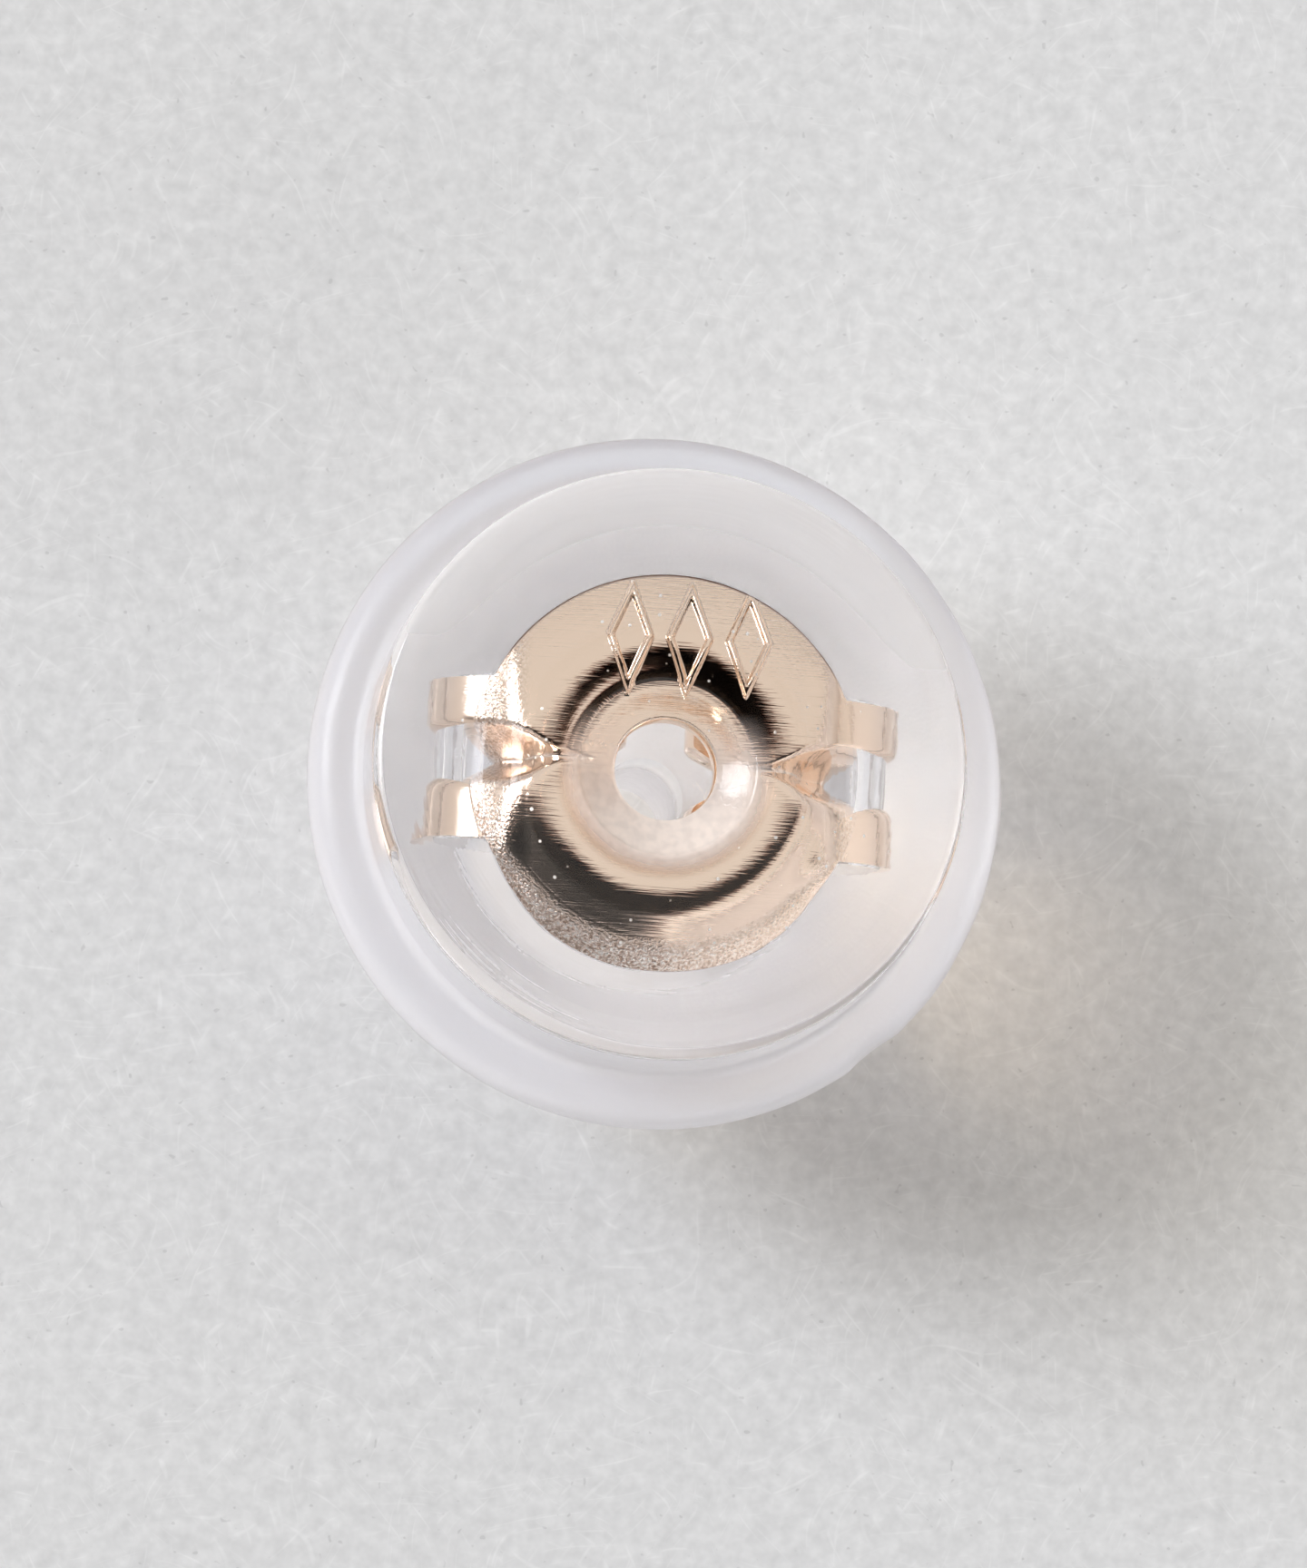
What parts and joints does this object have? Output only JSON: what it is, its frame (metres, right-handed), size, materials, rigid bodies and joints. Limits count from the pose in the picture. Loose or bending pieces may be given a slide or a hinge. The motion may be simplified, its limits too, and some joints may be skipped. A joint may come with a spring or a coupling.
{
  "type": "silicone-covered butterfly earring back",
  "caption": "Friction earring back: a folded gold butterfly clutch in a clear round silicone cover, pushed onto the post of an earring behind the ear.",
  "frame": {"origin": "centre of the flat back end that the cover stands on, on the axis of the post", "axes": "+Z along the post, from the back end to the face that meets the ear; X along the clutch's two curled arms"},
  "size_m": [0.006, 0.006, 0.0041],
  "materials": {
    "clear_silicone": "moulded clear silicone, faintly milky",
    "champagne_gold": "polished champagne gold sheet with fine straight scratches"
  },
  "bodies": {
    "root": {"silicone_cover": "clear_silicone", "butterfly_clutch": "champagne_gold"}
  },
  "joints": []
}
